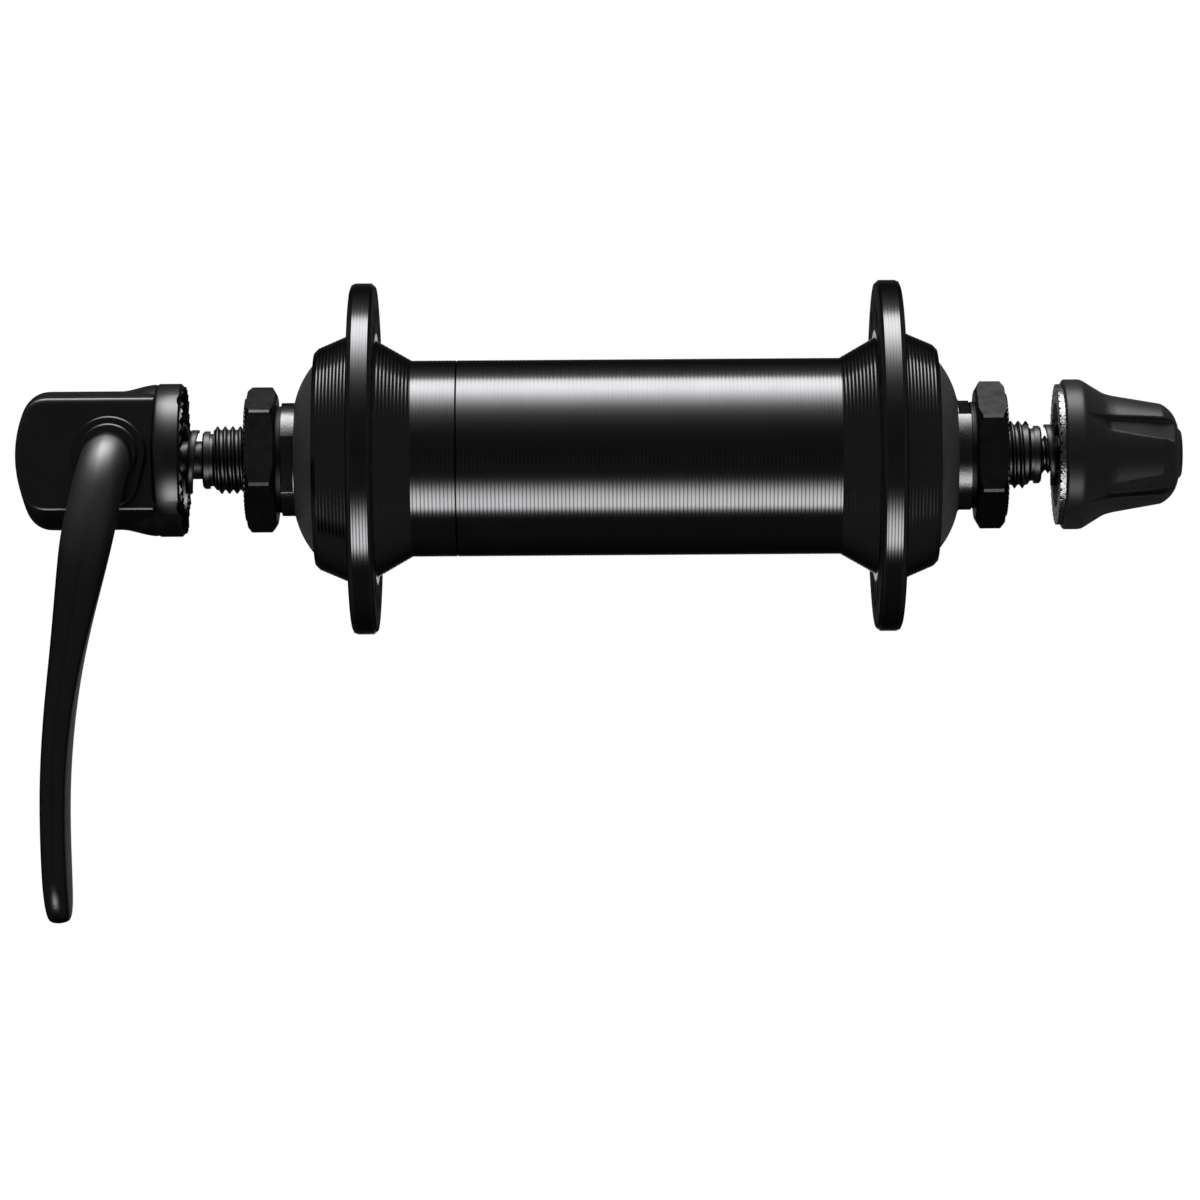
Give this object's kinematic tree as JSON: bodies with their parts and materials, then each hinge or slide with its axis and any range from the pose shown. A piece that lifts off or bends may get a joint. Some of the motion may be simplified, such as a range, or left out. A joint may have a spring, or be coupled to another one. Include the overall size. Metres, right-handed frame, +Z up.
{
  "type": "bicycle front hub",
  "caption": "Quick-release bicycle front hub: flanged shell on cup-and-cone bearings, hollow threaded axle, skewer with cam lever and fluted adjusting nut.",
  "frame": {"origin": "middle of the hub: on the axle's centre line, midway between the locknut faces", "axes": "+X along the axle from the lever end to the adjusting nut, +Z up, the closed lever hanging down along -Z"},
  "size_m": [0.1527, 0.0462, 0.0834],
  "materials": {
    "shell_black": "black anodised, satin, fine turned grooves",
    "race_steel": "ground and hardened",
    "ball_steel": "polished",
    "cage_steel": "stamped",
    "axle_steel": "dark, oiled",
    "cone_black": "glossy black oxide",
    "cover_black": "satin black",
    "seal_rubber": "matt black",
    "washer_steel": "dark",
    "locknut_black": "black oxide, lightly glossy",
    "rod_steel": "dull zinc",
    "housing_black": "satin black paint",
    "lever_black": "satin black paint",
    "cap_black": "glossy black",
    "spring_steel": "dark spring steel",
    "nut_black": "matt black",
    "insert_steel": "bright serrated steel"
  },
  "bodies": {
    "axle_set": {"axle": "axle_steel", "cone_left": "cone_black", "cone_right": "cone_black", "dust_cover_left": "cover_black", "dust_cover_right": "cover_black", "seal_ring_left": "seal_rubber", "seal_ring_right": "seal_rubber", "lock_washer_left": "washer_steel", "lock_washer_right": "washer_steel", "locknut_left": "locknut_black", "locknut_right": "locknut_black"},
    "hub": {"hub_shell": "shell_black", "bearing_cup_left": "race_steel", "bearing_cup_right": "race_steel"},
    "cage_left": {"ball_set_left": "ball_steel", "ball_retainer_left": "cage_steel"},
    "cage_right": {"ball_set_right": "ball_steel", "ball_retainer_right": "cage_steel"},
    "spring_seat": {"spring_left": "spring_steel"},
    "housing": {"lever_housing": "housing_black"},
    "lever": {"cam_lever": "lever_black", "pivot_cap": "cap_black"},
    "rod": {"skewer_rod": "rod_steel"},
    "nut_seat": {"spring_right": "spring_steel"},
    "nut": {"adjusting_nut": "nut_black", "nut_insert": "insert_steel"}
  },
  "joints": [
    {"name": "hub_spin", "type": "hinge", "parent": "axle_set", "child": "hub", "pos_m": [0, 0, 0], "axis": [1, 0, 0], "continuous": true},
    {"name": "cage_left_spin", "type": "hinge", "parent": "axle_set", "child": "cage_left", "pos_m": [0, 0, 0], "axis": [1, 0, 0], "continuous": true},
    {"name": "cage_right_spin", "type": "hinge", "parent": "axle_set", "child": "cage_right", "pos_m": [0, 0, 0], "axis": [1, 0, 0], "continuous": true},
    {"name": "skewer_turn", "type": "hinge", "parent": "axle_set", "child": "spring_seat", "pos_m": [0, 0, 0], "axis": [1, 0, 0], "continuous": true},
    {"name": "skewer_float", "type": "slide", "parent": "spring_seat", "child": "housing", "axis": [1, 0, 0], "range_m": [0, 0.0015], "stiffness_N_per_m": 500, "deforming": ["spring_left"]},
    {"name": "lever_swing", "type": "hinge", "parent": "housing", "child": "lever", "pos_m": [-0.0674, 0, 0], "axis": [0, 0.9957, -0.0924], "range_deg": [0, 180]},
    {"name": "rod_pull", "type": "slide", "parent": "housing", "child": "rod", "axis": [1, 0, 0], "range_m": [-0.0001, 0.0021]},
    {"name": "nut_travel", "type": "slide", "parent": "rod", "child": "nut_seat", "axis": [1, 0, 0], "range_m": [-0.0021, 0.0021], "deforming": ["spring_right"]},
    {"name": "nut_turn", "type": "hinge", "parent": "nut_seat", "child": "nut", "pos_m": [0, 0, 0], "axis": [1, 0, 0], "range_deg": [-900, 900]}
  ],
  "couplings": [
    {"joint": "cage_left_spin", "follows": "hub_spin", "ratio": 0.5978},
    {"joint": "cage_right_spin", "follows": "hub_spin", "ratio": 0.5978},
    {"joint": "rod_pull", "follows": "lever_swing", "m_per_rad": 0.00063662},
    {"joint": "nut_travel", "follows": "nut_turn", "m_per_rad": 0.00012732}
  ]
}
